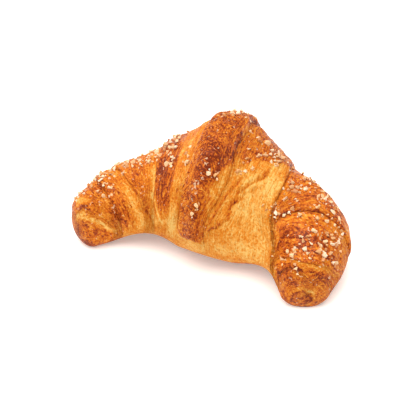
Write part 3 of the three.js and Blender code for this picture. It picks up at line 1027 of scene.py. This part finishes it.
def make_crumbs():
    """The nut grains and the sugar grains, each kind as one piece."""
    dice = Dice(CRUMB_SEED)
    placed = []
    for patch in PATCHES:
        strew(dice, placed, patch, CRUMB_LARGE, CRUMB_SMALL)
    for patch in CLUSTERS:
        strew(dice, placed, patch, CLUSTER_LARGE, CLUSTER_SMALL)
    for patch in PATCHES:
        strew(dice, placed, patch, EXTRA_LARGE, EXTRA_SMALL, EXTRA_CRUMBS)
    for patch in LOOSE_PATCHES:
        strew(dice, placed, patch, LOOSE_LARGE, EXTRA_SMALL)
    for patch in RIM_CLUSTERS:
        strew(dice, placed, patch, CLUSTER_LARGE, CLUSTER_SMALL)
    for _, size, _, place, angle in list(placed):
        if size > EXTRA_LARGE:
            stick(dice, placed, size, place, angle)

    kinds = {"nut_grains": bmesh.new(), "sugar_grains": bmesh.new()}
    shades = {name: bm.verts.layers.float.new("shade") for name, bm in kinds.items()}
    for spot, size, turn, _, _ in placed:
        name = "sugar_grains" if dice.chance() < SUGAR_SHARE else "nut_grains"
        shade = dice.chance()
        cut_crumb(dice, kinds[name], shades[name], shade, spot, size * SEEN_SIZE, turn)
    pieces = {}
    for name, bm in kinds.items():
        bmesh.ops.recalc_face_normals(bm, faces=bm.faces)
        pieces[name] = finished(name, bm, smooth=False)
    return pieces


class Nodes:
    """A material's node tree, built one node at a time."""

    def __init__(self, name):
        self.material = bpy.data.materials.new(name)
        self.material.use_nodes = True
        self.tree = self.material.node_tree
        self.shader = self.tree.nodes["Principled BSDF"]

    def add(self, kind, inputs=None, **settings):
        node = self.tree.nodes.new("ShaderNode" + kind)
        for key, value in settings.items():
            setattr(node, key, value)
        for key, value in (inputs or {}).items():
            self.feed(node, key, value)
        return node

    def feed(self, node, key, value):
        socket = node.inputs[key]
        if isinstance(value, bpy.types.NodeSocket):
            self.tree.links.new(value, socket)
        else:
            socket.default_value = value

    def maths(self, operation, a, b=0.0, c=0.0):
        return self.add("Math", {0: a, 1: b, 2: c}, operation=operation).outputs[0]

    def plus(self, value, pattern, gain):
        """A value with a pattern added to it."""
        return self.maths("MULTIPLY_ADD", pattern, gain, value)

    def centred(self, pattern):
        """A pattern that darkens as much as it lightens."""
        return self.maths("SUBTRACT", pattern, 0.5)

    def blend(self, a, b, share):
        return self.add("Mix", {"Factor": share, "A": a, "B": b}, data_type="FLOAT").outputs["Result"]

    def tint(self, colour, towards, share):
        return self.add("Mix", {0: share, 6: colour, 7: towards}, data_type="RGBA").outputs[2]

    def spread(self, value, low, high, to_low=0.0, to_high=1.0):
        """A value's stretch from low to high, brought smoothly to another one."""
        inputs = {"Value": value, "From Min": low, "From Max": high, "To Min": to_low, "To Max": to_high}
        return self.add("MapRange", inputs, interpolation_type="SMOOTHSTEP").outputs["Result"]

    def noise(self, vector, scale, detail, roughness=0.5, distortion=0.0):
        inputs = {"Vector": vector, "Scale": scale, "Detail": detail, "Roughness": roughness,
                  "Distortion": distortion}
        return self.add("TexNoise", inputs).outputs["Fac"]

    def attribute(self, name, output="Fac"):
        return self.add("Attribute", attribute_name=name).outputs[output]

    def grained(self, grain, scale, detail, distortion):
        """A noise drawn out along or across the grain."""
        stretched = self.add("Mapping", {"Vector": grain, "Scale": scale}).outputs["Vector"]
        return self.noise(stretched, 1, detail, FINE, distortion)

    def ramp(self, value, stops):
        node = self.add("ValToRGB", {"Fac": value})
        elements = node.color_ramp.elements
        while len(elements) < len(stops):
            elements.new(0.5)
        for element, (place, colour) in zip(elements, stops):
            element.position = place
            element.color = linear(colour)
        return node.outputs["Color"]


# Colours on the screen's scale, by tone from pale to dark
CRUST_COLOURS = [
    (0.00, (255, 206, 116)),
    (0.18, (250, 178, 84)),
    (0.40, (237, 142, 38)),
    (0.58, (226, 122, 32)),
    (0.75, (204, 97, 26)),
    (0.88, (176, 74, 24)),
    (1.00, (128, 48, 18)),
]
# The colour of the painted highlights: glints mixed into the crust's colour
GLINT_COLOUR = (252, 204, 160)
SUGAR_COLOURS = [(0.0, (254, 230, 198)), (0.6, (250, 210, 162)), (1.0, (240, 186, 126))]
NUT_COLOURS = [(0.0, (244, 200, 148)), (0.5, (232, 172, 110)), (1.0, (212, 138, 78))]
LIT = 1.25  # how much brighter than its own colour a surface looks under the studio's light

# Noise drawn out by the grain: scale along the roll and round it, detail, distortion
STREAKS = ((1.15, 0.075, 1), 3, 0.5)
STREAKS_ACROSS = ((0.20, 0.60, 1), 4, 1.2)
FIBRES = ((1.6, 0.36, 1), 2, 0.8)
FIBRES_ACROSS = ((0.8, 1.2, 1), 2, 0.8)
FINE = 0.6  # roughness of most of the patterns

# Noise on the whole crust and, last, on the crumbs: scale in a metre, detail, roughness, distortion
MOTTLE = (850, 2, FINE, 0.3)
BLOTCHES = (140, 3, FINE)
PORES = (900, 1)
GLINTS = (560, 1, 0.5, 0.3)
GLAZE = (95, 3, 0.55)
CRUMB_MOTTLE = (1500, 3, FINE)

# How strongly each pattern changes the tone
STREAK_GAIN = 1.85
FIBRE_GAIN = 2.0
BLOTCH_GAIN = 0.7
ACROSS_GAIN = 0.18
CRUMB_GAIN = 0.7

# Where the patterns start and end, and what they reach, as spread takes them
GRAIN_BY_BAKE = (0.2, 0.7, 0.34, 0.64)
MOTTLE_BY_BAKE = (0.2, 0.6, 0.85, 1.05)
PORE_DARK = (0.66, 0.74, 0.0, 0.28)
# The painted highlights: where the glint noise lets them show, and how the bake and the glint spots raise
# them
GLINT_CLEAR = (0.68, 0.75, 0.0, 0.75)
GLINT_BY_BAKE = (0.35, 0.65)
GLINT_SPOT_GAIN = 0.14
ROUGH_BY_BAKE = (0.2, 0.8, 0.55, 0.40)
COAT_BY_GLAZE = (0.42, 0.62)
COAT_BY_BAKE = (0.4, 0.8, 0.0, 0.16)

# Bumps in metres, and how much the fibres and the mottle lift them
CRUST_BUMP = 0.001
CRUMB_BUMP = 0.0002
FIBRE_LIFT = 0.8
MOTTLE_LIFT = 0.5
CLEAR_DEPTH = (0.0012, 0.0009, 0.0006)  # how far red, green and blue light goes into a grain, in metres


def linear(colour):
    """The surface that looks like a colour of the screen's scale, 0 to 255, in the studio."""
    parts = []
    for part in colour:
        part /= 255
        part = part / 12.92 if part <= 0.04045 else ((part + 0.055) / 1.055) ** 2.4
        parts.append(part / LIT)
    return (*parts, 1.0)


def crust_material():
    """Baked dough: pale gold to caramel, streaked by its fibres, with dark pores and painted highlights,
    peach glints.
    """
    nodes = Nodes("crust")
    bake = nodes.attribute("bake")
    cross = nodes.attribute("crosswise")
    grain = nodes.attribute("grain", "Vector")
    place = nodes.add("TexCoord").outputs["Object"]
    streaks = nodes.blend(nodes.grained(grain, *STREAKS), nodes.grained(grain, *STREAKS_ACROSS), cross)
    fibres = nodes.blend(nodes.grained(grain, *FIBRES), nodes.grained(grain, *FIBRES_ACROSS), cross)
    mottle = nodes.noise(place, *MOTTLE)
    blotch = nodes.noise(place, *BLOTCHES)

    strong = nodes.plus(nodes.spread(bake, *GRAIN_BY_BAKE), cross, ACROSS_GAIN)
    fine = nodes.maths("MULTIPLY", nodes.centred(fibres), FIBRE_GAIN)
    fine = nodes.plus(fine, nodes.centred(streaks), STREAK_GAIN)
    tone = nodes.plus(bake, fine, strong)
    tone = nodes.plus(tone, nodes.centred(mottle), nodes.spread(bake, *MOTTLE_BY_BAKE))
    tone = nodes.plus(tone, nodes.centred(blotch), BLOTCH_GAIN)
    tone = nodes.maths("ADD", tone, nodes.spread(nodes.noise(place, *PORES), *PORE_DARK))
    # Painted highlights: peach glints mixed into the colour where the noise and the glint spots are high
    glints = nodes.plus(nodes.noise(place, *GLINTS), nodes.attribute("glint_spots"), GLINT_SPOT_GAIN)
    clear = nodes.spread(glints, *GLINT_CLEAR)
    glints = nodes.maths("MULTIPLY", clear, nodes.spread(bake, *GLINT_BY_BAKE))
    colour = nodes.tint(nodes.ramp(tone, CRUST_COLOURS), linear(GLINT_COLOUR), glints)
    nodes.feed(nodes.shader, "Base Color", colour)

    height = nodes.plus(nodes.plus(streaks, fibres, FIBRE_LIFT), mottle, MOTTLE_LIFT)
    bump = nodes.add("Bump", {"Height": height, "Strength": 1.0, "Distance": CRUST_BUMP})
    nodes.feed(nodes.shader, "Normal", bump.outputs["Normal"])
    nodes.feed(nodes.shader, "Roughness", nodes.spread(bake, *ROUGH_BY_BAKE))
    glaze = nodes.spread(nodes.noise(place, *GLAZE), *COAT_BY_GLAZE)
    coat = nodes.maths("MULTIPLY", glaze, nodes.spread(bake, *COAT_BY_BAKE))
    nodes.feed(nodes.shader, "Coat Weight", coat)
    nodes.shader.inputs["Coat Roughness"].default_value = 0.16
    nodes.shader.inputs["Specular IOR Level"].default_value = 0.06
    return nodes.material


def crumb_material(name, colours, roughness, clear):
    """Grains whose shade varies from one to the next, mottled and a little rough."""
    nodes = Nodes(name)
    place = nodes.add("TexCoord").outputs["Object"]
    mottle = nodes.noise(place, *CRUMB_MOTTLE)
    tone = nodes.plus(nodes.attribute("shade"), nodes.centred(mottle), CRUMB_GAIN)
    nodes.feed(nodes.shader, "Base Color", nodes.ramp(tone, colours))
    bump = nodes.add("Bump", {"Height": mottle, "Strength": 0.6, "Distance": CRUMB_BUMP})
    nodes.feed(nodes.shader, "Normal", bump.outputs["Normal"])
    nodes.shader.inputs["Roughness"].default_value = roughness
    nodes.shader.inputs["Subsurface Weight"].default_value = clear
    nodes.shader.inputs["Subsurface Radius"].default_value = CLEAR_DEPTH
    nodes.shader.inputs["Subsurface Scale"].default_value = 1.0
    return nodes.material


# The studio: a white table that glows, an even white surround and a broad soft light overhead
FLOOR_WIDE = 6.0
SURROUND = 0.62
TABLE_COLOUR = (0.94, 0.92, 0.89, 1)
TABLE_ROUGH = 0.7
TABLE_GLOW = 0.29  # the table glows, painted light that lightens the shadows on it and lights the roll from below
# The glow's colour, warm, which warms the shadows on the table
TABLE_GLOW_COLOUR = (1, 0.95, 0.87, 1)
KEY_FROM = Vector((-0.15, -0.1, 1.0))
KEY_WIDE = 1.4
KEY_POWER = 19.5

# The camera, from the photograph's angle
CAMERA_AROUND = math.radians(21.5)
CAMERA_ABOVE = math.radians(38)
CAMERA_LENS = 107
CAMERA_SENSOR = 36
CAMERA_AWAY = 0.661
AIM = Vector((MIDDLE_X, MIDDLE_Y - 20, 20)) * MM
AIM_RIGHT = 0.90 * MM
AIM_UP = 6.46 * MM


def make_studio():
    """The table, the surround and the light over it."""
    bm = bmesh.new()
    bmesh.ops.create_grid(bm, x_segments=1, y_segments=1, size=FLOOR_WIDE / 2)
    floor = finished("floor", bm)
    nodes = Nodes("white_table")
    nodes.shader.inputs["Base Color"].default_value = TABLE_COLOUR
    nodes.shader.inputs["Roughness"].default_value = TABLE_ROUGH
    nodes.shader.inputs["Emission Color"].default_value = TABLE_GLOW_COLOUR
    nodes.shader.inputs["Emission Strength"].default_value = TABLE_GLOW
    floor.data.materials.append(nodes.material)

    world = bpy.data.worlds.new("surround")
    world.use_nodes = True
    world.node_tree.nodes["Background"].inputs["Color"].default_value = (1, 1, 1, 1)
    world.node_tree.nodes["Background"].inputs["Strength"].default_value = SURROUND
    bpy.context.scene.world = world

    light = bpy.data.lights.new("key", "AREA")
    light.shape = "SQUARE"
    light.size = KEY_WIDE
    light.energy = KEY_POWER
    key = bpy.data.objects.new("key", light)
    key.location = KEY_FROM
    key.rotation_euler = (-KEY_FROM).to_track_quat("-Z", "Y").to_euler()
    bpy.context.scene.collection.objects.link(key)


def make_camera():
    """The camera looks back along the way that leads from its aim to itself."""
    around = CAMERA_AROUND
    level = math.cos(CAMERA_ABOVE)
    back = Vector((math.sin(around) * level, -math.cos(around) * level, math.sin(CAMERA_ABOVE)))
    right = Vector((math.cos(around), math.sin(around), 0))
    up = back.cross(right)
    data = bpy.data.cameras.new("camera")
    data.lens = CAMERA_LENS
    data.sensor_width = CAMERA_SENSOR
    data.clip_start = 0.01
    camera = bpy.data.objects.new("camera", data)
    turn = Matrix((right, up, back)).transposed().to_4x4()
    spot = AIM + right * AIM_RIGHT + up * AIM_UP + back * CAMERA_AWAY
    camera.matrix_world = Matrix.Translation(spot) @ turn
    bpy.context.scene.collection.objects.link(camera)
    bpy.context.scene.camera = camera


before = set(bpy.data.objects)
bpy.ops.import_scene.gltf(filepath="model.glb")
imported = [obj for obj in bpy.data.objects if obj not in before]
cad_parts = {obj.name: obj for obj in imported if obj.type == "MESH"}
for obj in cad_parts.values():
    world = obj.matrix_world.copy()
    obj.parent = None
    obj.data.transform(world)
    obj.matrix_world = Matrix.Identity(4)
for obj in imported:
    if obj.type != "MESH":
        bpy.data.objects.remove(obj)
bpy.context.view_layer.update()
bpy.context.scene.view_settings.view_transform = "Standard"

make_camera()
crust = make_crust()
crust.data.materials.append(crust_material())
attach(crust, BODY)
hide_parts(NODE)

crumbs = make_crumbs()
sugar = crumb_material("sugar", SUGAR_COLOURS, roughness=0.35, clear=0.3)
nut = crumb_material("nut", NUT_COLOURS, roughness=0.5, clear=0.1)
crumbs["sugar_grains"].data.materials.append(sugar)
crumbs["nut_grains"].data.materials.append(nut)
for piece in crumbs.values():
    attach(piece, BODY)
make_studio()
